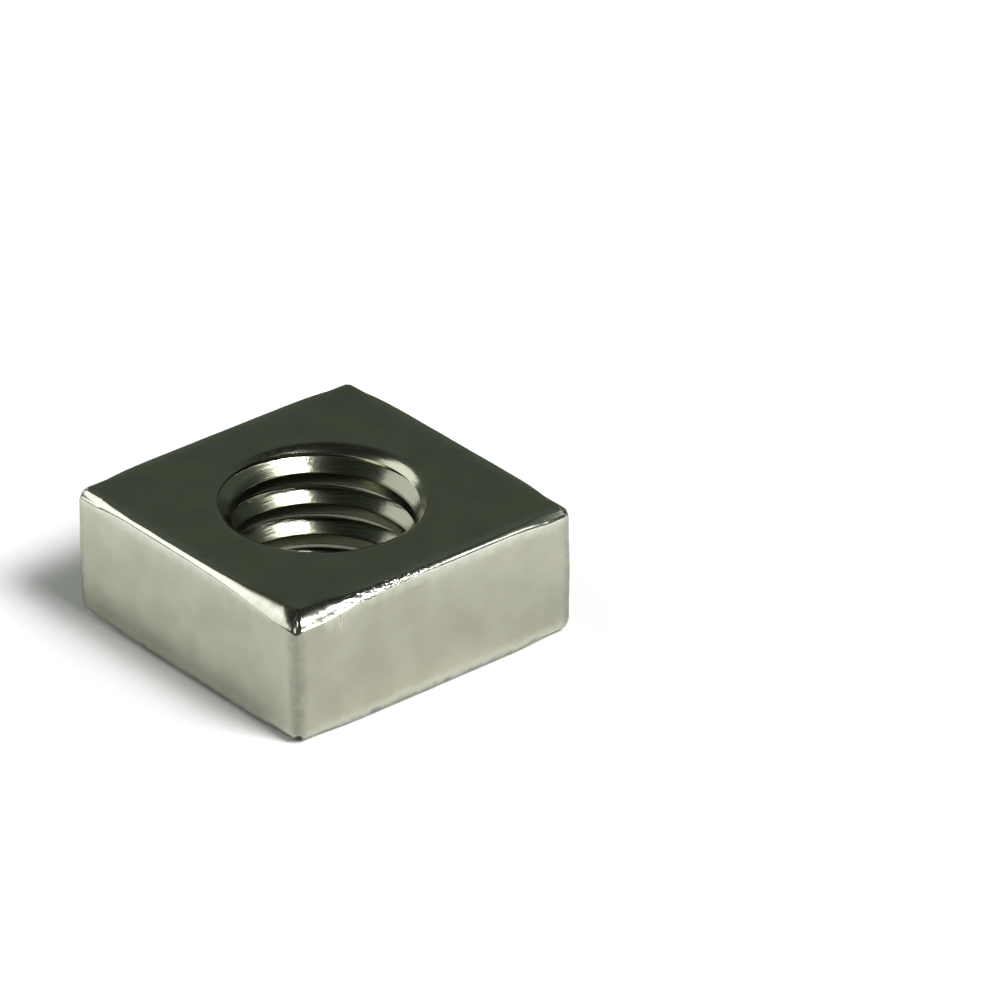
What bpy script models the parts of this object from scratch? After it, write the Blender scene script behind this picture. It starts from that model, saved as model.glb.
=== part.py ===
# Square machine screw nut, 3/8 inch with 16 threads to the inch: one solid piece of bright steel.
# It lies on its bearing face. The origin is the centre of that face and the bore runs along +Z.
import math

import bmesh
import bpy
from mathutils import Matrix, Vector

# Driving dimensions, in metres: 5/8 inch across the flats and 1/4 inch thick
width_across_flats = 0.015875
thickness = 0.00635

# The right-hand thread: 3/8 inch at its roots, its crests cut flat by the bore that is drilled first
thread_major_diameter = 0.009525
thread_pitch = 0.0015875
thread_depth = 0.00071
thread_half_angle = math.radians(30)
thread_root_share = 1 / 8
thread_start_angle = math.radians(25)

# The countersink at each face opens a little wider than the thread, with a soft lip
countersink_margin = 0.00029
countersink_half_angle = math.radians(45)
countersink_lip_radius = 0.0003

# Radii that tumbling leaves: small along the faces, larger down the uprights, largest at the corners
face_edge_radius = 0.0003
upright_edge_radius = 0.00042
upright_reach = 0.0013
corner_radius = 0.0009
corner_reach = 0.002

# The front left corner of the upper face is worn further, along both of its edges
worn_corner = (-1, -1, 1)
worn_corner_radius = 0.0011
worn_corner_reach = 0.0044
worn_corner_depth = 0.0013

# How finely the round forms are cut up
bore_segments = 64
lip_segments = 3
spare_turns = 2
edge_steps = 4
reach_cuts = (0.0017, 0.0026, 0.0038, 0.0054)
weld_distance = 0.000001


def remove_scene_objects():
    for old in list(bpy.data.objects):
        bpy.data.objects.remove(old)


def add_collection(name):
    collection = bpy.data.collections.new(name)
    bpy.context.scene.collection.children.link(collection)
    return collection


def bright_steel():
    material = bpy.data.materials.new("bright_steel")
    material.use_nodes = True
    shader = material.node_tree.nodes["Principled BSDF"]
    shader.inputs["Base Color"].default_value = (0.60, 0.59, 0.54, 1.0)
    shader.inputs["Metallic"].default_value = 1.0
    shader.inputs["Roughness"].default_value = 0.22
    return material


def widest_radius():
    return max(face_edge_radius, upright_edge_radius, corner_radius, worn_corner_radius)


def cut_distances():
    """Distances from an edge of the sharp block at which it is cut, so that a round edge can form."""
    shares = [1 - math.tan(math.pi / 4 * step / edge_steps) for step in range(edge_steps)]
    near = [share * widest_radius() for share in shares]
    return near + [reach for reach in reach_cuts if reach > widest_radius()]


def cut_block_near_edges(mesh, half_sizes):
    for axis, half in enumerate(half_sizes):
        normal = Vector((0, 0, 0))
        normal[axis] = 1
        for distance in cut_distances():
            if distance < half:
                for side in (-1, 1):
                    everything = mesh.verts[:] + mesh.edges[:] + mesh.faces[:]
                    spot = normal * side * (half - distance)
                    bmesh.ops.bisect_plane(mesh, geom=everything, plane_co=spot, plane_no=normal)


def nearness(distance, reach):
    """One at no distance, falling smoothly to nothing past the reach."""
    return math.exp(-(distance / reach) ** 2)


def worn_radius(point, half_sizes):
    """Radius of the worn edge beside a point of the sharp block."""
    gap = Vector([half - abs(place) for half, place in zip(half_sizes, point)])
    near_upright = nearness(gap.xy.length, upright_reach)
    near_corner = nearness(gap.length, corner_reach)
    radius = face_edge_radius + (upright_edge_radius - face_edge_radius) * near_upright
    radius += (corner_radius - upright_edge_radius) * near_corner
    corner = Vector([half * side for half, side in zip(half_sizes, worn_corner)])
    away = corner - Vector(point)
    near_worn = nearness(away.xy.length, worn_corner_reach) * nearness(away.z, worn_corner_depth)
    return radius + (worn_corner_radius - radius) * near_worn


def round_off(point, half_sizes):
    """Moves a point of the sharp block on to the block with worn edges and corners.

    Each cut near an edge keeps its share of the radius there, so all round edges have as many steps.
    """
    radius = worn_radius(point, half_sizes)
    core = Vector(point)
    reach = Vector((0, 0, 0))
    for axis, half in enumerate(half_sizes):
        gap_share = (half - abs(point[axis])) / widest_radius()
        if gap_share < 1 + weld_distance:
            side = math.copysign(1, point[axis])
            core[axis] = side * (half - radius)
            reach[axis] = side * (1 - gap_share)
    return core + reach.normalized() * radius


def make_blank(collection, material):
    """The square blank with its worn edges, before the bore is cut."""
    half_sizes = Vector((width_across_flats / 2, width_across_flats / 2, thickness / 2))
    mesh = bmesh.new()
    bmesh.ops.create_cube(mesh, size=2.0, matrix=Matrix.Diagonal((*half_sizes, 1.0)))
    cut_block_near_edges(mesh, half_sizes)
    for vertex in mesh.verts:
        vertex.co = round_off(vertex.co.copy(), half_sizes)
    bmesh.ops.translate(mesh, verts=mesh.verts, vec=(0, 0, thickness / 2))
    data = bpy.data.meshes.new("square_nut")
    mesh.to_mesh(data)
    mesh.free()
    data.shade_smooth()
    data.set_sharp_from_angle(angle=math.radians(30))
    data.materials.append(material)
    nut = bpy.data.objects.new("square_nut", data)
    collection.objects.link(nut)
    return nut


def add_cutter(name, mesh, collection):
    data = bpy.data.meshes.new(name)
    mesh.to_mesh(data)
    mesh.free()
    cutter = bpy.data.objects.new(name, data)
    cutter.hide_render = True
    cutter.display_type = "WIRE"
    collection.objects.link(cutter)
    return cutter


def draw_profile(points):
    """A line of edges in the XZ plane through points given as radius and height."""
    mesh = bmesh.new()
    rim = [mesh.verts.new((radius, 0, height)) for radius, height in points]
    for first, second in zip(rim, rim[1:]):
        mesh.edges.new((first, second))
    return mesh


def thread_section():
    """One pitch of the thread from a crest's middle up to the next, as radius and height."""
    root_radius = thread_major_diameter / 2
    crest_radius = root_radius - thread_depth
    flank = thread_depth * math.tan(thread_half_angle)
    root = thread_root_share * thread_pitch
    half_crest = (thread_pitch - root - 2 * flank) / 2
    return [
        (crest_radius, 0.0),
        (crest_radius, half_crest),
        (root_radius, half_crest + flank),
        (root_radius, half_crest + flank + root),
        (crest_radius, thread_pitch - half_crest),
        (crest_radius, thread_pitch),
    ]


def close_end(mesh, edges, tip_height):
    """Draws an open rim together in a point on the axis."""
    grown = bmesh.ops.extrude_edge_only(mesh, edges=edges)["geom"]
    rim = [item for item in grown if isinstance(item, bmesh.types.BMVert)]
    bmesh.ops.pointmerge(mesh, verts=rim, merge_co=(0, 0, tip_height))


def make_tap(collection):
    """The threaded core that the tap takes out, several turns longer than the nut is thick."""
    turns = math.ceil(thickness / thread_pitch) + 2 * spare_turns
    lowest = -spare_turns * thread_pitch
    mesh = draw_profile([(radius, lowest + height) for radius, height in thread_section()])
    bmesh.ops.spin(
        mesh,
        geom=mesh.verts[:] + mesh.edges[:],
        axis=(0, 0, 1),
        dvec=(0, 0, thread_pitch / bore_segments),
        angle=turns * math.tau,
        steps=turns * bore_segments,
    )
    bmesh.ops.remove_doubles(mesh, verts=mesh.verts[:], dist=weld_distance)
    open_edges = [edge for edge in mesh.edges if edge.is_boundary]
    below = [edge for edge in open_edges if edge.verts[0].co.z < thickness / 2]
    above = [edge for edge in open_edges if edge.verts[0].co.z > thickness / 2]
    close_end(mesh, below, lowest - thread_pitch)
    close_end(mesh, above, lowest + (turns + 2) * thread_pitch)
    bmesh.ops.recalc_face_normals(mesh, faces=mesh.faces[:])
    turned = Matrix.Rotation(thread_start_angle, 3, "Z")
    bmesh.ops.rotate(mesh, verts=mesh.verts[:], cent=(0, 0, 0), matrix=turned)
    return add_cutter("threaded_core", mesh, collection)


def lip_profile():
    """Radius and depth below the face, from the flat face down the rounded lip of the countersink."""
    mouth_radius = thread_major_diameter / 2 + countersink_margin
    turn = math.pi / 2 - countersink_half_angle
    lip_reach = countersink_lip_radius * math.tan(turn / 2)
    points = []
    for step in range(lip_segments + 1):
        angle = turn * step / lip_segments
        radius = mouth_radius + lip_reach - countersink_lip_radius * math.sin(angle)
        depth = countersink_lip_radius * (1 - math.cos(angle))
        points.append((radius, depth))
    return points


def countersink_profile():
    """Half section of both countersinks and the neck between, running down its outer side."""
    lip = lip_profile()
    first_slope = (lip[1][1] - lip[0][1]) / (lip[0][0] - lip[1][0])
    rise = countersink_lip_radius
    run_out = (lip[0][0] + rise / first_slope, -rise)
    neck_radius = thread_major_diameter / 2 - 2 * thread_depth
    lip_end = lip[-1]
    cone_depth = lip_end[1] + (lip_end[0] - neck_radius) / math.tan(countersink_half_angle)
    half = [(0.0, -rise), run_out] + lip[1:] + [(neck_radius, cone_depth)]
    upper = [(radius, thickness - depth) for radius, depth in half]
    lower = [(radius, depth) for radius, depth in reversed(half)]
    return upper + lower


def make_countersink(collection):
    cutter = add_cutter("countersinks", draw_profile(countersink_profile()), collection)
    turning = cutter.modifiers.new("turning", "SCREW")
    turning.axis = "Z"
    turning.angle = math.tau
    turning.steps = bore_segments
    turning.render_steps = bore_segments
    turning.use_merge_vertices = True
    turning.merge_threshold = weld_distance
    return cutter


def cut_away(piece, cutter):
    cut = piece.modifiers.new(cutter.name, "BOOLEAN")
    cut.operation = "DIFFERENCE"
    cut.solver = "EXACT"
    cut.object = cutter


def main():
    remove_scene_objects()
    parts = add_collection("square nut")
    cutters = add_collection("cutters")
    nut = make_blank(parts, bright_steel())
    cut_away(nut, make_tap(cutters))
    cut_away(nut, make_countersink(cutters))


main()
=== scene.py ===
import math

import bpy
from mathutils import Matrix, Vector, noise


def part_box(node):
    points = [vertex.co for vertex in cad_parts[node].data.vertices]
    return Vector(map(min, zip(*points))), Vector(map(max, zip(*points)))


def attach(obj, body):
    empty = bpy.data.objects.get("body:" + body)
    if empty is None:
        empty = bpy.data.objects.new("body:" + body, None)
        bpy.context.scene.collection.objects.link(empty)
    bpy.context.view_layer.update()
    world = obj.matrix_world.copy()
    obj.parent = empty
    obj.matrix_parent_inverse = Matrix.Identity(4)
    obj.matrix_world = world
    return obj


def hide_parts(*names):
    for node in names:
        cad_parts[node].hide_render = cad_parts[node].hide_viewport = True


# Square nut of bright tumbled steel, lying on a plain white table.
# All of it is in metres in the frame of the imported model: the bearing face lies on z = 0.
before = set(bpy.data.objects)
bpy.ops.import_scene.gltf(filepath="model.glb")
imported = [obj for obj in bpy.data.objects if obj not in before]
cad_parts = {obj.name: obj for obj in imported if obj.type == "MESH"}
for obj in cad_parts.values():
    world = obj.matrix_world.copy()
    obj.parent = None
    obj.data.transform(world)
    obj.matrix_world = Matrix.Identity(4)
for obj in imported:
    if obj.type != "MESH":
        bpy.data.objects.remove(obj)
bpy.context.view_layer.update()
nutLow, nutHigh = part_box("square_nut")
nutSize = nutHigh - nutLow
nutMiddle = (nutLow + nutHigh) / 2
weldDistance = 0.000001
seedSize = 0.001  # of the plane that a profile starts from, merged to a point at once
millimetres = 1000  # in a metre, for the finishes


# Steps that the modelling takes more than once

def deselectAll():
    if bpy.context.mode != "OBJECT":
        bpy.ops.object.mode_set(mode="OBJECT")
    bpy.ops.object.select_all(action="DESELECT")


def makeActive(piece):
    deselectAll()
    piece.select_set(True)
    bpy.context.view_layer.objects.active = piece


def applyPlace(piece):
    makeActive(piece)
    bpy.ops.object.transform_apply(location=True, rotation=True, scale=True)


def applyModifier(piece, kind, **settings):
    makeActive(piece)
    modifier = piece.modifiers.new(kind.lower(), kind)
    for setting, value in settings.items():
        setattr(modifier, setting, value)
    bpy.ops.object.modifier_apply(modifier=modifier.name)


def drawProfile(name, points):
    # one vertex, pulled from point to point in the XZ plane
    deselectAll()
    firstRadius, firstHeight = points[0]
    bpy.ops.mesh.primitive_plane_add(size=seedSize, location=(firstRadius, 0, firstHeight))
    profile = bpy.context.object
    profile.name = name
    applyPlace(profile)
    bpy.ops.object.mode_set(mode="EDIT")
    bpy.ops.mesh.merge(type="CENTER")
    for (radius, height), (nextRadius, nextHeight) in zip(points, points[1:]):
        step = (nextRadius - radius, 0, nextHeight - height)
        bpy.ops.mesh.extrude_region_move(TRANSFORM_OT_translate={"value": step})
    bpy.ops.object.mode_set(mode="OBJECT")
    return profile


# The blank: a block that tumbling has rounded, most of all at its corners
blank = {
    "name": "nutBody",
    "halfSizes": nutSize / 2,
    "edgeRadius": 0.0003,
    "uprightRadius": 0.00042,
    "uprightReach": 0.0013,
    "cornerRadius": 0.0009,
    "cornerReach": 0.002,
    "wornCorner": Vector((-1, -1, 1)),  # this one is worn further along both of its upper edges
    "wornRadius": 0.00118,
    "wornReach": 0.0038,
    "wornDepth": 0.0013,
    "radiusSpare": 1.25,  # room for the radii to wander without folding the rim over
    "edgeSteps": 9,
    "firstGap": 0.00014,  # past the round edges the cuts stand further and further apart
    "gapGrowth": 1.12,
    "widestGaps": (0.0001, 0.00022, 0.00022),  # along x they stay close, for the knocks on the front edge
    "softPlanRadius": 0.0006,
    "ridgeTaper": 0.78,
    "unevenness": 0.05,  # share by which the radii wander along every edge
    "unevenLength": 0.0011,
    "knockLength": 0.0002,
    "smoothAngle": math.radians(38),
    "knocks": [
        {"middle": Vector((-0.0025, -0.0079, 0.0032)), "reach": 0.0022, "amount": 0.22},
        {"middle": Vector((-0.0079, 0.0068, 0.0032)), "reach": 0.0012, "amount": 0.16},
    ],
}


def nearness(distance, reach):
    return math.exp(-(distance / reach) ** 2)


def widestRadius():
    return max(blank["cornerRadius"], blank["wornRadius"]) * blank["radiusSpare"]


def cutDistances(axis):
    steps = blank["edgeSteps"]
    distances = [(1 - math.tan(math.pi / 4 * step / steps)) * widestRadius() for step in range(steps)]
    widestGap = blank["widestGaps"][axis]
    gap = min(blank["firstGap"], widestGap)
    place = widestRadius() + gap
    while place < blank["halfSizes"][axis] - widestGap / 2:
        distances.append(place)
        gap = min(gap * blank["gapGrowth"], widestGap)
        place += gap
    return distances


def unevenShare(point):
    # what knocks and plain unevenness make of the radius at a point
    share = 1 + blank["unevenness"] * noise.noise(point / blank["unevenLength"])
    for knock in blank["knocks"]:
        depth = knock["amount"] * nearness((point - knock["middle"]).length, knock["reach"])
        share += depth * noise.noise(point / blank["knockLength"])
    return share


def wornRadius(point):
    halves = blank["halfSizes"]
    gap = Vector([half - abs(place) for half, place in zip(halves, point)])
    nearUpright = nearness(gap.xy.length, blank["uprightReach"])
    nearCorner = nearness(gap.length, blank["cornerReach"])
    radius = blank["edgeRadius"] + (blank["uprightRadius"] - blank["edgeRadius"]) * nearUpright
    radius += (blank["cornerRadius"] - blank["uprightRadius"]) * nearCorner
    away = halves * blank["wornCorner"] - point
    nearWorn = nearness(away.xy.length, blank["wornReach"]) * nearness(away.z, blank["wornDepth"])
    radius += (blank["wornRadius"] - radius) * nearWorn
    return min(radius * unevenShare(point), widestRadius())


def planRadius(point, insetShare):
    # radius of a corner seen from above, which the ridges between the round upper edges keep small
    gap = Vector([half - abs(place) for half, place in zip(blank["halfSizes"], point)])
    away = blank["halfSizes"] * blank["wornCorner"] - point
    soft = nearness(gap.length, blank["cornerReach"]) * (1 - nearness(away.length, blank["wornReach"]))
    radius = blank["uprightRadius"] + (blank["softPlanRadius"] - blank["uprightRadius"]) * soft
    return radius * (1 - blank["ridgeTaper"] * math.sqrt(insetShare))


def roundOff(point):
    # turns the cuts near an edge into rings round the block, which draw in as they rise over its rim
    gaps = [half - abs(place) for half, place in zip(blank["halfSizes"], point)]
    near = [gap < widestRadius() + weldDistance for gap in gaps]
    shares = [max(0, 1 - gap / widestRadius()) for gap in gaps]
    rounded = point.copy()
    if not near[0] and not near[1]:
        return rounded
    radius = wornRadius(point)
    rise = Vector((max(shares[0], shares[1]), shares[2])).normalized()
    inset = radius * (1 - rise.x)
    if near[2]:
        rounded.z = math.copysign(blank["halfSizes"].z - radius * (1 - rise.y), point.z)
    plan = planRadius(point, 1 - rise.x) if near[0] and near[1] else 0
    along = Vector((shares[0] + weldDistance, shares[1] + weldDistance)).normalized()
    for axis in range(2):
        if near[axis]:
            drawn = inset + plan * (1 - along[axis])
            rounded[axis] = math.copysign(blank["halfSizes"][axis] - drawn, point[axis])
    return rounded


def makeBlank():
    deselectAll()
    bpy.ops.mesh.primitive_cube_add(size=1, location=(0, 0, 0), scale=nutSize)
    piece = bpy.context.object
    piece.name = blank["name"]
    applyPlace(piece)
    bpy.ops.object.mode_set(mode="EDIT")
    for axis, half in enumerate(blank["halfSizes"]):
        normal = Vector((0, 0, 0))
        normal[axis] = 1
        for distance in cutDistances(axis):
            for side in (-1, 1):
                bpy.ops.mesh.select_all(action="SELECT")
                bpy.ops.mesh.bisect(plane_co=normal * side * (half - distance), plane_no=normal)
    bpy.ops.object.mode_set(mode="OBJECT")
    for vertex in piece.data.vertices:
        vertex.co = roundOff(vertex.co) + nutMiddle
    return piece


nutBody = makeBlank()
print("blank:", len(nutBody.data.polygons), "faces")

# The thread and the countersinks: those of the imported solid, with rounded crests and roots,
# a flatter upper flank and a softer lip, as the light in the photo shows them
bore = {
    "majorRadius": 0.0047625,
    "pitch": 0.0015875,
    "depth": 0.0006,
    "upperFlank": math.radians(42),
    "lowerFlank": math.radians(30),
    "rootShare": 1 / 8,
    "crestRound": 0.00010,
    "rootRound": 0.00008,
    "roundSteps": 3,
    "startAngle": 0,
    "spareTurns": 2,
    "steps": 160,
    "mouthRadius": 0.00486,
    "sinkHalfAngle": math.radians(45),
    "lipRadius": 0.00095,
    "lipSteps": 12,
    "lipRise": 0.0001,
}


def roundBend(before, bend, after, radius, steps):
    # the arc that replaces a bend in a line, as points from one straight run to the next
    toBefore = (before - bend).normalized()
    toAfter = (after - bend).normalized()
    halfBend = toBefore.angle(toAfter) / 2
    inward = (toBefore + toAfter).normalized()
    centre = bend + inward * (radius / math.sin(halfBend))
    start = (bend + toBefore * (radius / math.tan(halfBend)) - centre).normalized()
    finish = (bend + toAfter * (radius / math.tan(halfBend)) - centre).normalized()
    return [centre + start.slerp(finish, step / steps) * radius for step in range(steps + 1)]


def threadSection():
    # one pitch of the thread as radius and height, from a crest's middle up to the next
    root = bore["majorRadius"]
    crest = root - bore["depth"]
    pitch = bore["pitch"]
    rise = bore["depth"] * math.tan(bore["upperFlank"])
    rootWidth = bore["rootShare"] * pitch
    halfCrest = (pitch - rootWidth - rise - bore["depth"] * math.tan(bore["lowerFlank"])) / 2
    bends = [
        Vector((crest, 0)),
        Vector((crest, halfCrest)),
        Vector((root, halfCrest + rise)),
        Vector((root, halfCrest + rise + rootWidth)),
        Vector((crest, pitch - halfCrest)),
        Vector((crest, pitch)),
    ]
    radii = [bore["crestRound"], bore["rootRound"], bore["rootRound"], bore["crestRound"]]
    line = [bends[0]]
    for index, radius in enumerate(radii, start=1):
        line += roundBend(bends[index - 1], bends[index], bends[index + 1], radius, bore["roundSteps"])
    return line + [bends[-1]]


def closeEnd(piece, isThisEnd):
    # draws an open rim together in a point beyond it
    edgeUses = {}
    for polygon in piece.data.polygons:
        for key in polygon.edge_keys:
            edgeUses[key] = edgeUses.get(key, 0) + 1
    makeActive(piece)
    bpy.ops.object.mode_set(mode="EDIT")
    bpy.ops.mesh.select_mode(type="EDGE")
    bpy.ops.mesh.select_all(action="DESELECT")
    bpy.ops.object.mode_set(mode="OBJECT")
    heights = []
    for edge in piece.data.edges:
        height = piece.data.vertices[edge.vertices[0]].co.z
        if edgeUses.get(edge.key) == 1 and isThisEnd(height):
            edge.select = True
            heights.append(height)
    outward = math.copysign(bore["pitch"], sum(heights) / len(heights) - nutMiddle.z)
    bpy.ops.object.mode_set(mode="EDIT")
    bpy.ops.mesh.extrude_edges_move(TRANSFORM_OT_translate={"value": (0, 0, outward)})
    bpy.ops.mesh.merge(type="CENTER")
    bpy.ops.mesh.select_mode(type="VERT")
    bpy.ops.object.mode_set(mode="OBJECT")


def makeTap():
    turns = math.ceil(nutSize.z / bore["pitch"]) + 2 * bore["spareTurns"]
    lowest = nutLow.z - bore["spareTurns"] * bore["pitch"]
    tap = drawProfile("tap", [(point.x, point.y + lowest) for point in threadSection()])
    applyModifier(
        tap, "SCREW", angle=math.tau, screw_offset=bore["pitch"], iterations=turns, steps=bore["steps"],
        render_steps=bore["steps"],
    )
    bpy.ops.object.mode_set(mode="EDIT")
    bpy.ops.mesh.select_all(action="SELECT")
    bpy.ops.mesh.remove_doubles(threshold=weldDistance)
    bpy.ops.object.mode_set(mode="OBJECT")
    closeEnd(tap, lambda height: height < nutMiddle.z)
    closeEnd(tap, lambda height: height > nutMiddle.z)
    makeActive(tap)
    bpy.ops.object.mode_set(mode="EDIT")
    bpy.ops.mesh.select_all(action="SELECT")
    bpy.ops.mesh.normals_make_consistent(inside=False)
    bpy.ops.object.mode_set(mode="OBJECT")
    tap.rotation_euler.z = bore["startAngle"]
    applyPlace(tap)
    return tap


def lipLine():
    # radius and depth below the face, round the lip of the countersink
    turn = math.pi / 2 - bore["sinkHalfAngle"]
    reach = bore["lipRadius"] * math.tan(turn / 2)
    line = []
    for step in range(bore["lipSteps"] + 1):
        angle = turn * step / bore["lipSteps"]
        radius = bore["mouthRadius"] + reach - bore["lipRadius"] * math.sin(angle)
        line.append((radius, bore["lipRadius"] * (1 - math.cos(angle))))
    return line


def makeSinks():
    lip = lipLine()
    firstSlope = (lip[1][1] - lip[0][1]) / (lip[0][0] - lip[1][0])
    runOut = (lip[0][0] + bore["lipRise"] / firstSlope, -bore["lipRise"])
    neck = bore["majorRadius"] - 2 * bore["depth"]
    coneDepth = lip[-1][1] + (lip[-1][0] - neck) / math.tan(bore["sinkHalfAngle"])
    half = [(0, -bore["lipRise"]), runOut] + lip[1:] + [(neck, coneDepth)]
    upper = [(radius, nutHigh.z - depth) for radius, depth in half]
    lower = [(radius, nutLow.z + depth) for radius, depth in reversed(half)]
    sinks = drawProfile("sinks", upper + lower)
    applyModifier(
        sinks, "SCREW", angle=math.tau, steps=bore["steps"], render_steps=bore["steps"],
        use_merge_vertices=True, merge_threshold=weldDistance,
    )
    makeActive(sinks)
    bpy.ops.object.mode_set(mode="EDIT")
    bpy.ops.mesh.select_all(action="SELECT")
    bpy.ops.mesh.normals_make_consistent(inside=False)
    bpy.ops.object.mode_set(mode="OBJECT")
    return sinks


def cutAway(piece, cutter):
    applyModifier(piece, "BOOLEAN", operation="DIFFERENCE", solver="MANIFOLD", object=cutter)
    bpy.data.objects.remove(cutter)


cutAway(nutBody, makeTap())
cutAway(nutBody, makeSinks())
makeActive(nutBody)
bpy.ops.object.shade_smooth_by_angle(angle=blank["smoothAngle"])
applyModifier(nutBody, "WEIGHTED_NORMAL", mode="FACE_AREA", weight=50, keep_sharp=True)
print("bored and threaded:", len(nutBody.data.polygons), "faces")


# Finishes

def addNode(tree, kind, place, **settings):
    node = tree.nodes.new(kind)
    node.location = place
    for setting, value in settings.items():
        setattr(node, setting, value)
    return node


def makeGroup(name, inputs, outputs):
    tree = bpy.data.node_groups.new(name, "ShaderNodeTree")
    for label, kind in inputs.items():
        tree.interface.new_socket(label, in_out="INPUT", socket_type=kind)
    for label, kind in outputs.items():
        tree.interface.new_socket(label, in_out="OUTPUT", socket_type=kind)
    return tree, addNode(tree, "NodeGroupInput", (-1200, 0)), addNode(tree, "NodeGroupOutput", (600, 0))


def feed(tree, socket, value):
    # a socket takes either another socket or a plain value
    if isinstance(value, bpy.types.NodeSocket):
        tree.links.new(value, socket)
    else:
        socket.default_value = value


def addMath(tree, operation, place, *values):
    node = addNode(tree, "ShaderNodeMath", place, operation=operation)
    for socket, value in zip(node.inputs, values):
        feed(tree, socket, value)
    return node.outputs[0]


def addVectorMath(tree, operation, place, *values):
    node = addNode(tree, "ShaderNodeVectorMath", place, operation=operation)
    for socket, value in zip(node.inputs, values):
        feed(tree, socket, value)
    return node.outputs["Value"] if operation == "LENGTH" else node.outputs["Vector"]


def addRange(tree, place, value, low, high, start=0, finish=1):
    node = addNode(tree, "ShaderNodeMapRange", place, interpolation_type="SMOOTHSTEP")
    parts = {"Value": value, "From Min": low, "From Max": high, "To Min": start, "To Max": finish}
    for label, part in parts.items():
        feed(tree, node.inputs[label], part)
    return node.outputs["Result"]


def addNoise(tree, place, vector, scale, detail=2):
    node = addNode(tree, "ShaderNodeTexNoise", place)
    feed(tree, node.inputs["Vector"], vector)
    feed(tree, node.inputs["Scale"], scale)
    feed(tree, node.inputs["Detail"], detail)
    return node.outputs["Fac"]


def addMix(tree, place, share, first, second):
    node = addNode(tree, "ShaderNodeMix", place, data_type="RGBA")
    feed(tree, node.inputs["Factor"], share)
    feed(tree, node.inputs[6], first)  # the colour sockets have the same labels as the plain ones
    feed(tree, node.inputs[7], second)
    return node.outputs[2]


# The marks in the steel: reaches in millimetres, and the scales and ranges of their noise
marks = {
    "cloudRange": (0.3, 0.7),
    "grainRange": (0.25, 0.75),
    "uprightReach": 0.75,
    "rimReach": 0.9,
    "footShadeReach": 0.5,
    "wanderScale": 2.2,
    "wanderSpan": 0.5,
    "knockScale": 5.5,
    "knockRange": (0.1, 0.6),
    "ringStretch": (0.35, 0.35, 5),
    "ringScale": 3,
}


def makeMottleGroup():
    # soft cloudy patches that tumbling leaves, and fine grain
    tree, start, finish = makeGroup(
        "tumbleMottle",
        {"Place": "NodeSocketVector", "Clouds": "NodeSocketFloat", "Grain": "NodeSocketFloat"},
        {"Cloudiness": "NodeSocketFloat", "Fineness": "NodeSocketFloat"},
    )
    clouds = addNoise(tree, (-800, 100), start.outputs["Place"], start.outputs["Clouds"], 3)
    grain = addNoise(tree, (-800, -200), start.outputs["Place"], start.outputs["Grain"], 2)
    tree.links.new(addRange(tree, (-400, 100), clouds, *marks["cloudRange"]), finish.inputs["Cloudiness"])
    tree.links.new(addRange(tree, (-400, -200), grain, *marks["grainRange"]), finish.inputs["Fineness"])
    return tree


def makeEdgeGroup():
    # masks by the distance to the nearest edges, which a little noise makes uneven
    tree, start, finish = makeGroup(
        "edgeWear",
        {"Place": "NodeSocketVector", "Half Size": "NodeSocketVector", "Knocked Spot": "NodeSocketVector",
         "Knocked Reach": "NodeSocketFloat"},
        {"Rim": "NodeSocketFloat", "Upright": "NodeSocketFloat", "Foot Shade": "NodeSocketFloat",
         "Knocks": "NodeSocketFloat"},
    )
    place = start.outputs["Place"]
    distance = addVectorMath(tree, "ABSOLUTE", (-1000, 0), place)
    gaps = addNode(tree, "ShaderNodeSeparateXYZ", (-600, 0))
    feed(tree, gaps.inputs[0], addVectorMath(tree, "SUBTRACT", (-800, 0), start.outputs["Half Size"], distance))
    sideGap = addMath(tree, "MINIMUM", (-400, 200), gaps.outputs["X"], gaps.outputs["Y"])
    uprightGap = addMath(tree, "MAXIMUM", (-400, 0), gaps.outputs["X"], gaps.outputs["Y"])
    rimGap = addMath(tree, "MAXIMUM", (-400, -200), gaps.outputs["Z"], sideGap)
    waves = addNoise(tree, (-800, -400), place, marks["wanderScale"])
    span = marks["wanderSpan"]
    wander = addMath(tree, "MULTIPLY_ADD", (-400, -400), waves, span, -span / 2)
    unevenUpright = addMath(tree, "ADD", (-200, 0), uprightGap, wander)
    unevenRim = addMath(tree, "ADD", (-200, -200), rimGap, wander)
    upright = addRange(tree, (0, 0), unevenUpright, 0, marks["uprightReach"], 1, 0)
    tree.links.new(upright, finish.inputs["Upright"])
    rim = addRange(tree, (0, -200), unevenRim, 0, marks["rimReach"], 1, 0)
    tree.links.new(rim, finish.inputs["Rim"])
    # painted shade along the rounded bottom edges, where the nut stands on the table
    height = addNode(tree, "ShaderNodeSeparateXYZ", (-600, -600))
    feed(tree, height.inputs[0], place)
    below = addMath(tree, "LESS_THAN", (0, -600), height.outputs["Z"], 0)
    footShade = addRange(tree, (0, -400), unevenRim, 0, marks["footShadeReach"], 1, 0)
    tree.links.new(addMath(tree, "MULTIPLY", (200, -400), footShade, below), finish.inputs["Foot Shade"])
    # fine knocks on the rim round one spot
    away = addVectorMath(tree, "SUBTRACT", (-800, -800), place, start.outputs["Knocked Spot"])
    spotGap = addVectorMath(tree, "LENGTH", (-600, -800), away)
    near = addRange(tree, (-400, -800), spotGap, 0, start.outputs["Knocked Reach"], 1, 0)
    dents = addNoise(tree, (-400, -1000), place, marks["knockScale"], 1)
    knocks = addMath(tree, "MULTIPLY", (0, -800), near, dents)
    knockedRim = addRange(tree, (0, -1000), rimGap, *marks["knockRange"], 1, 0)
    tree.links.new(addMath(tree, "MULTIPLY", (200, -800), knocks, knockedRim), finish.inputs["Knocks"])
    return tree


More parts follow.
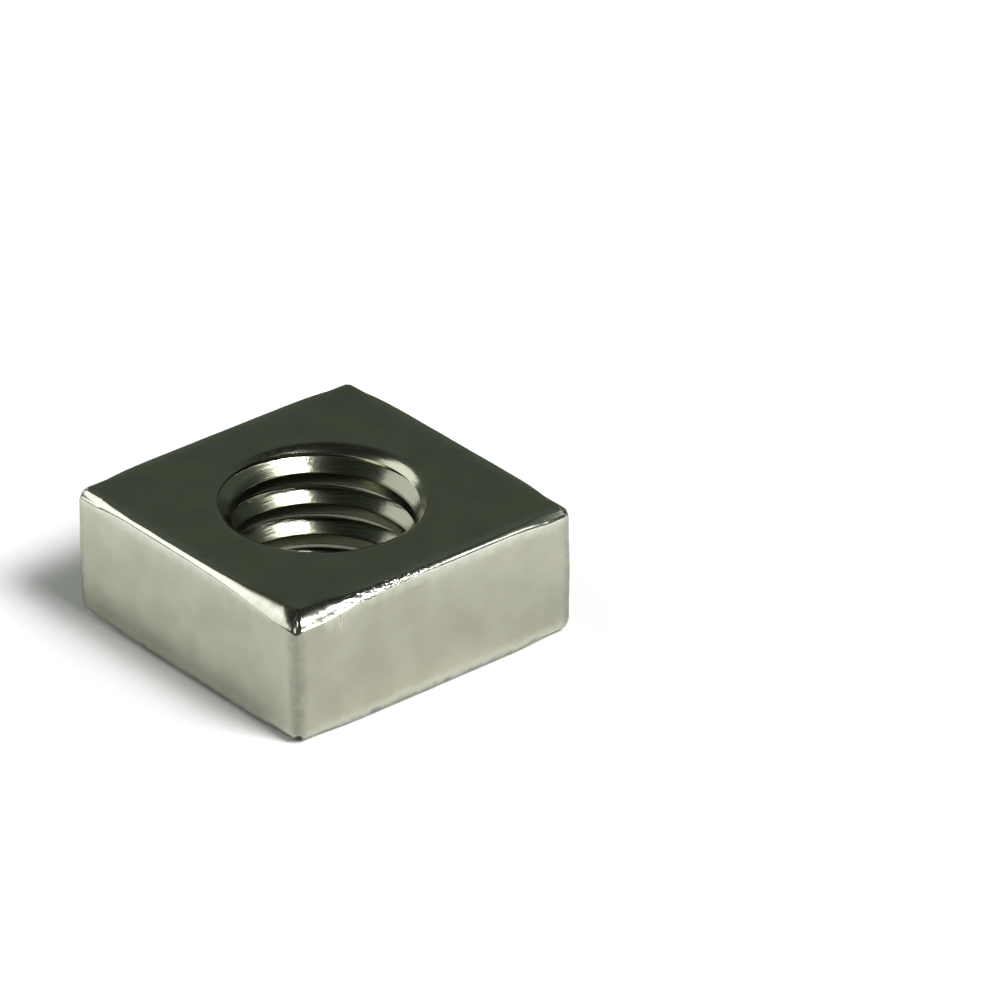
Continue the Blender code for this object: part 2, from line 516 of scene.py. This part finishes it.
def makeTurningGroup():
    # the bore as a mask, and the fine rings that the tap and the countersink leave in it
    tree, start, finish = makeGroup(
        "turningMarks",
        {"Place": "NodeSocketVector", "Bore Radius": "NodeSocketFloat", "Crest Radius": "NodeSocketFloat",
         "Softness": "NodeSocketFloat", "Thread Height": "NodeSocketFloat"},
        {"Bore": "NodeSocketFloat", "Thread": "NodeSocketFloat", "Crest": "NodeSocketFloat",
         "Rings": "NodeSocketFloat"},
    )
    flat = addVectorMath(tree, "MULTIPLY", (-1000, 0), start.outputs["Place"], (1, 1, 0))
    radius = addVectorMath(tree, "LENGTH", (-800, 0), flat)
    masks = {}
    for label, height in (("Bore", 0), ("Crest", -200)):
        inner = start.outputs[label + " Radius"]
        outer = addMath(tree, "ADD", (-600, height), inner, start.outputs["Softness"])
        masks[label] = addRange(tree, (-400, height), radius, inner, outer, 1, 0)
        tree.links.new(masks[label], finish.inputs[label])
    # the thread alone, which the countersinks at both ends leave out
    upright = addVectorMath(tree, "MULTIPLY", (-1000, 300), start.outputs["Place"], (0, 0, 1))
    depth = addVectorMath(tree, "LENGTH", (-800, 300), upright)
    end = addMath(tree, "ADD", (-600, 400), start.outputs["Thread Height"], start.outputs["Softness"])
    between = addRange(tree, (-400, 300), depth, start.outputs["Thread Height"], end, 1, 0)
    tree.links.new(addMath(tree, "MULTIPLY", (-200, 200), masks["Bore"], between), finish.inputs["Thread"])
    along = addVectorMath(tree, "MULTIPLY", (-800, -400), start.outputs["Place"], marks["ringStretch"])
    tree.links.new(addNoise(tree, (-600, -400), along, marks["ringScale"], 3), finish.inputs["Rings"])
    return tree


# Bright steel, in millimetres from the middle of the nut
steel = {
    "name": "brightSteel",
    "lightColour": (0.42, 0.418, 0.335, 1),
    "darkColour": (0.365, 0.363, 0.286, 1),
    "rimColour": (0.60, 0.60, 0.53, 1),
    "uprightColour": (0.20, 0.205, 0.165, 1),
    "uprightShare": 0.85,
    # painted shade along the bottom edges, where the nut stands on the table
    "footShadeColour": (0.13, 0.14, 0.09, 1),
    # painted shade inside the threaded bore, which darkens the steel there
    "boreShadeColour": (0.25, 0.255, 0.195, 1),
    # painted shade on the innermost crests of the thread, far darker than the steel
    "crestShadeColour": (0.09, 0.098, 0.062, 1),
    "cloudScale": 0.55,
    "grainScale": 7,
    "sideRoughness": (0.17, 0.24),
    "rimRoughness": 0.15,
    "uprightRoughness": 0.32,
    "boreRoughness": 0.17,
    "crestRoughness": 0.25,
    "boreRadius": 4.7,
    "boreSoftness": 0.15,
    "threadHeight": 2.45,
    "knockedReach": 4.4,
    "knockHeight": 0.00005,
    "grainHeight": 0.0000012,
    "ringHeight": 0.00001,
}


def makeSteel():
    material = bpy.data.materials.new(steel["name"])
    material.use_nodes = True
    tree = material.node_tree
    shader = tree.nodes["Principled BSDF"]
    coordinates = addNode(tree, "ShaderNodeTexCoord", (-1800, 0))
    centred = addNode(tree, "ShaderNodeMapping", (-1600, 0))
    centred.inputs["Location"].default_value = -millimetres * nutMiddle
    centred.inputs["Scale"].default_value = (millimetres, millimetres, millimetres)
    tree.links.new(coordinates.outputs["Object"], centred.inputs["Vector"])
    place = centred.outputs["Vector"]
    mottle = addNode(tree, "ShaderNodeGroup", (-1300, 300), node_tree=makeMottleGroup())
    wear = addNode(tree, "ShaderNodeGroup", (-1300, 0), node_tree=makeEdgeGroup())
    turning = addNode(tree, "ShaderNodeGroup", (-1300, -300), node_tree=makeTurningGroup())
    for group in (mottle, wear, turning):
        tree.links.new(place, group.inputs["Place"])
    mottle.inputs["Clouds"].default_value = steel["cloudScale"]
    mottle.inputs["Grain"].default_value = steel["grainScale"]
    wear.inputs["Half Size"].default_value = millimetres * nutSize / 2
    wear.inputs["Knocked Spot"].default_value = millimetres * blank["knocks"][0]["middle"]
    wear.inputs["Knocked Reach"].default_value = steel["knockedReach"]
    turning.inputs["Bore Radius"].default_value = steel["boreRadius"]
    turning.inputs["Crest Radius"].default_value = millimetres * (bore["majorRadius"] - bore["depth"])
    turning.inputs["Softness"].default_value = steel["boreSoftness"]
    turning.inputs["Thread Height"].default_value = steel["threadHeight"]
    clouds, grain = mottle.outputs["Cloudiness"], mottle.outputs["Fineness"]

    colour = addMix(tree, (-1000, 300), clouds, steel["lightColour"], steel["darkColour"])
    colour = addMix(tree, (-900, 300), wear.outputs["Rim"], colour, steel["rimColour"])
    upright = addMath(tree, "MULTIPLY", (-1000, 100), wear.outputs["Upright"], steel["uprightShare"])
    colour = addMix(tree, (-800, 300), upright, colour, steel["uprightColour"])
    # painted shade darkens the rounded bottom edges
    colour = addMix(tree, (-600, 300), wear.outputs["Foot Shade"], colour, steel["footShadeColour"])
    # painted shade inside the threaded bore, short of the countersinks
    colour = addMix(tree, (-400, 300), turning.outputs["Thread"], colour, steel["boreShadeColour"])
    # painted shade on the crests of the thread
    colour = addMix(tree, (-200, 300), turning.outputs["Crest"], colour, steel["crestShadeColour"])
    tree.links.new(colour, shader.inputs["Base Color"])
    shader.inputs["Metallic"].default_value = 1

    low, high = steel["sideRoughness"]
    roughness = addRange(tree, (-1000, -100), grain, 0, 1, low, high)
    for mask, value in (
        (wear.outputs["Rim"], steel["rimRoughness"]),
        (wear.outputs["Upright"], steel["uprightRoughness"]),
        (turning.outputs["Bore"], steel["boreRoughness"]),
        (turning.outputs["Crest"], steel["crestRoughness"]),
    ):
        mixed = addNode(tree, "ShaderNodeMix", (-600, -100), data_type="FLOAT")
        feed(tree, mixed.inputs[0], mask)
        feed(tree, mixed.inputs[2], roughness)
        feed(tree, mixed.inputs[3], value)
        roughness = mixed.outputs[0]
    tree.links.new(roughness, shader.inputs["Roughness"])

    fine = addNode(tree, "ShaderNodeBump", (-500, -400))
    fine.inputs["Distance"].default_value = steel["grainHeight"]
    feed(tree, fine.inputs["Height"], grain)
    knocked = addNode(tree, "ShaderNodeBump", (-400, -400))
    knocked.inputs["Distance"].default_value = steel["knockHeight"]
    tree.links.new(wear.outputs["Knocks"], knocked.inputs["Height"])
    rings = addNode(tree, "ShaderNodeBump", (-300, -400))
    rings.inputs["Distance"].default_value = steel["ringHeight"]
    feed(tree, rings.inputs["Height"], addMath(
        tree, "MULTIPLY", (-700, -500), turning.outputs["Rings"], turning.outputs["Bore"]))
    tree.links.new(fine.outputs["Normal"], knocked.inputs["Normal"])
    tree.links.new(knocked.outputs["Normal"], rings.inputs["Normal"])
    tree.links.new(rings.outputs["Normal"], shader.inputs["Normal"])
    return material


nutBody.data.materials.clear()
nutBody.data.materials.append(makeSteel())

# The studio, laid out from the camera: right and away across the table, and up
studio = {
    "turn": math.radians(-39.65),  # the camera sees the nut turned this far
    "cameraPlace": Vector((0.0079, -0.31617, 0.18427)),
    "cameraPitch": math.radians(29.4),
    "cameraRoll": math.radians(-0.41),
    "lens": 292.3,
    "sensor": 36,
    "clipStart": 0.01,
    "clipEnd": 10,
    "tableSize": 1.6,
    "tableDrop": 0.00001,
    "tableColour": (0.92, 0.92, 0.92, 1),
    "tableRoughness": 0.9,
    # painted light: the table's glow for camera and glossy rays, faint beside the nut and strong away from it
    "paintedTableGlows": (0.02, 0.4),  # beside the nut and away from it
    "paintedGlowReaches": (0.011, 0.026),
    "roomColour": (0.105, 0.13, 0.102, 1),
    "darkColour": (0.02, 0.024, 0.019, 1),
    "roomHeights": (0.0, 0.06, 0.72, 0.87),
}
lamps = {
    "keySoftbox": {
        "middle": (0.268, -0.216, 0.424), "facing": (0.6, 0, 0.8), "along": (0.8, 0, -0.6),
        "size": (0.20, 0.23), "power": 3.6,
    },
    "rightCard": {
        "middle": (0.454, -0.1325, 0.2845), "facing": (0.6, 0, 0.8), "along": (0.8, 0, -0.6),
        "size": (0.265, 0.185), "power": 0.42,
    },
    "leftSoftbox": {
        "middle": (-0.428, 0.09, 0.2575), "facing": (-0.784, 0.345, 0.515), "along": (0.403, 0.915, 0),
        "size": (0.385, 0.384), "power": 0.76,
    },
}


def fromCamera(right, away, up):
    return Matrix.Rotation(studio["turn"], 3, "Z") @ Vector((right, away, up))


def makeCamera():
    data = bpy.data.cameras.new("camera")
    data.lens = studio["lens"]
    data.sensor_width = studio["sensor"]
    data.clip_start = studio["clipStart"]
    data.clip_end = studio["clipEnd"]
    camera = bpy.data.objects.new("camera", data)
    bpy.context.scene.collection.objects.link(camera)
    tilt = Matrix.Rotation(math.pi / 2 - studio["cameraPitch"], 4, "X")
    roll = Matrix.Rotation(studio["cameraRoll"], 4, "Z")
    turn = Matrix.Rotation(studio["turn"], 4, "Z")
    camera.matrix_world = Matrix.Translation(fromCamera(*studio["cameraPlace"])) @ turn @ tilt @ roll
    bpy.context.scene.camera = camera


def makeLamp(name, lamp):
    data = bpy.data.lights.new(name, "AREA")
    data.shape = "RECTANGLE"
    data.size, data.size_y = lamp["size"]
    data.energy = lamp["power"]
    light = bpy.data.objects.new(name, data)
    bpy.context.scene.collection.objects.link(light)
    facing = fromCamera(*lamp["facing"]).normalized()
    across = facing.cross(fromCamera(*lamp["along"])).normalized()
    turn = Matrix((across.cross(facing), across, facing)).transposed().to_4x4()
    light.matrix_world = Matrix.Translation(fromCamera(*lamp["middle"])) @ turn


def makeRoom():
    # a dim room with a dark ceiling, shaded by the height of the direction
    world = bpy.data.worlds.new("room")
    world.use_nodes = True
    tree = world.node_tree
    direction = addNode(tree, "ShaderNodeTexCoord", (-800, 0))
    split = addNode(tree, "ShaderNodeSeparateXYZ", (-600, 0))
    ramp = addNode(tree, "ShaderNodeValToRGB", (-400, 0))
    tree.links.new(direction.outputs["Generated"], split.inputs[0])
    tree.links.new(split.outputs["Z"], ramp.inputs["Fac"])
    tree.links.new(ramp.outputs["Color"], tree.nodes["Background"].inputs["Color"])
    stops = ramp.color_ramp.elements
    stops[0].position, stops[0].color = studio["roomHeights"][0], studio["darkColour"]
    stops[1].position, stops[1].color = studio["roomHeights"][3], studio["darkColour"]
    for height in studio["roomHeights"][1:3]:
        stops.new(height).color = studio["roomColour"]
    bpy.context.scene.world = world


def makeTable():
    deselectAll()
    bpy.ops.mesh.primitive_plane_add(size=studio["tableSize"], location=(0, 0, -studio["tableDrop"]))
    table = bpy.context.object
    table.name = "table"
    applyPlace(table)
    material = bpy.data.materials.new("tableWhite")
    material.use_nodes = True
    tree = material.node_tree
    shader = tree.nodes["Principled BSDF"]
    shader.inputs["Base Color"].default_value = studio["tableColour"]
    shader.inputs["Roughness"].default_value = studio["tableRoughness"]
    shader.inputs["Specular IOR Level"].default_value = 0
    shader.inputs["Emission Color"].default_value = (1, 1, 1, 1)
    path = addNode(tree, "ShaderNodeLightPath", (-800, 0))
    seen = addMath(tree, "MAXIMUM", (-600, 0), path.outputs["Is Camera Ray"], path.outputs["Is Glossy Ray"])
    coordinates = addNode(tree, "ShaderNodeTexCoord", (-1000, -300))
    distance = addVectorMath(tree, "LENGTH", (-800, -300), coordinates.outputs["Object"])
    # painted light on the floor: it glows more the further it lies from the nut, so the floor beside the nut
    # stays darker
    white = addRange(tree, (-600, -300), distance, *studio["paintedGlowReaches"], *studio["paintedTableGlows"])
    tree.links.new(addMath(tree, "MULTIPLY", (-400, 0), seen, white), shader.inputs["Emission Strength"])
    table.data.materials.append(material)


makeCamera()
for name, lamp in lamps.items():
    makeLamp(name, lamp)
makeRoom()
makeTable()
bpy.context.scene.view_settings.view_transform = "Standard"
print("studio set")

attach(nutBody, "root")
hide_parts("square_nut")
